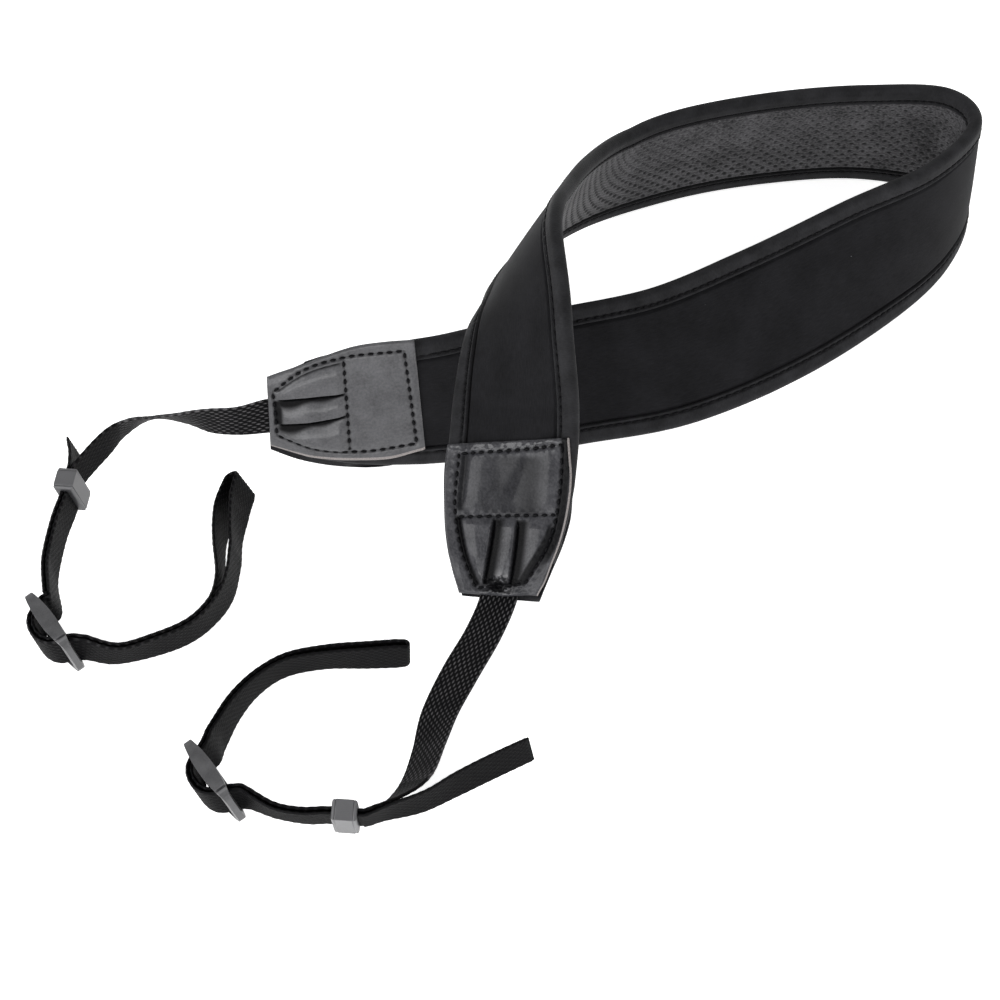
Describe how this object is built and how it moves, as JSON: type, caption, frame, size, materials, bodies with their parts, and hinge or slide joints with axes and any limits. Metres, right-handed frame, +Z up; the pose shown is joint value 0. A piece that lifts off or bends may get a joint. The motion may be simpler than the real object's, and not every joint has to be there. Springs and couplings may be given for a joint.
{
  "type": "camera neck strap",
  "caption": "Padded camera neck strap laid in a loop with crossed ends, with stitched leather ends, narrow webbing loops for the lugs, sliders and keepers.",
  "frame": {"origin": "centre of the laid strap's bounding box, on the surface that it lies on", "axes": "+Z up from that surface, -Y towards the front of the layout, +X to its right"},
  "size_m": [0.306, 0.3044, 0.0825],
  "materials": {
    "neoprene": "matte black jersey over foam",
    "mesh_lining": "charcoal knobbly mesh",
    "binding": "matte black folded tape, stitched",
    "leather": "smooth dark grey, stitched and pleated",
    "webbing": "black ribbed weave with a slight sheen",
    "moulded_plastic": "satin dark grey"
  },
  "bodies": {
    "root": {"pad_body": "neoprene", "pad_lining": "mesh_lining", "binding_upper": "binding", "binding_lower": "binding", "left_tab_outer": "leather", "left_tab_inner": "leather", "front_tab_outer": "leather", "front_tab_inner": "leather", "left_webbing": "webbing", "front_webbing": "webbing", "left_keeper": "moulded_plastic", "front_keeper": "moulded_plastic", "left_slider": "moulded_plastic", "front_slider": "moulded_plastic"}
  },
  "joints": []
}
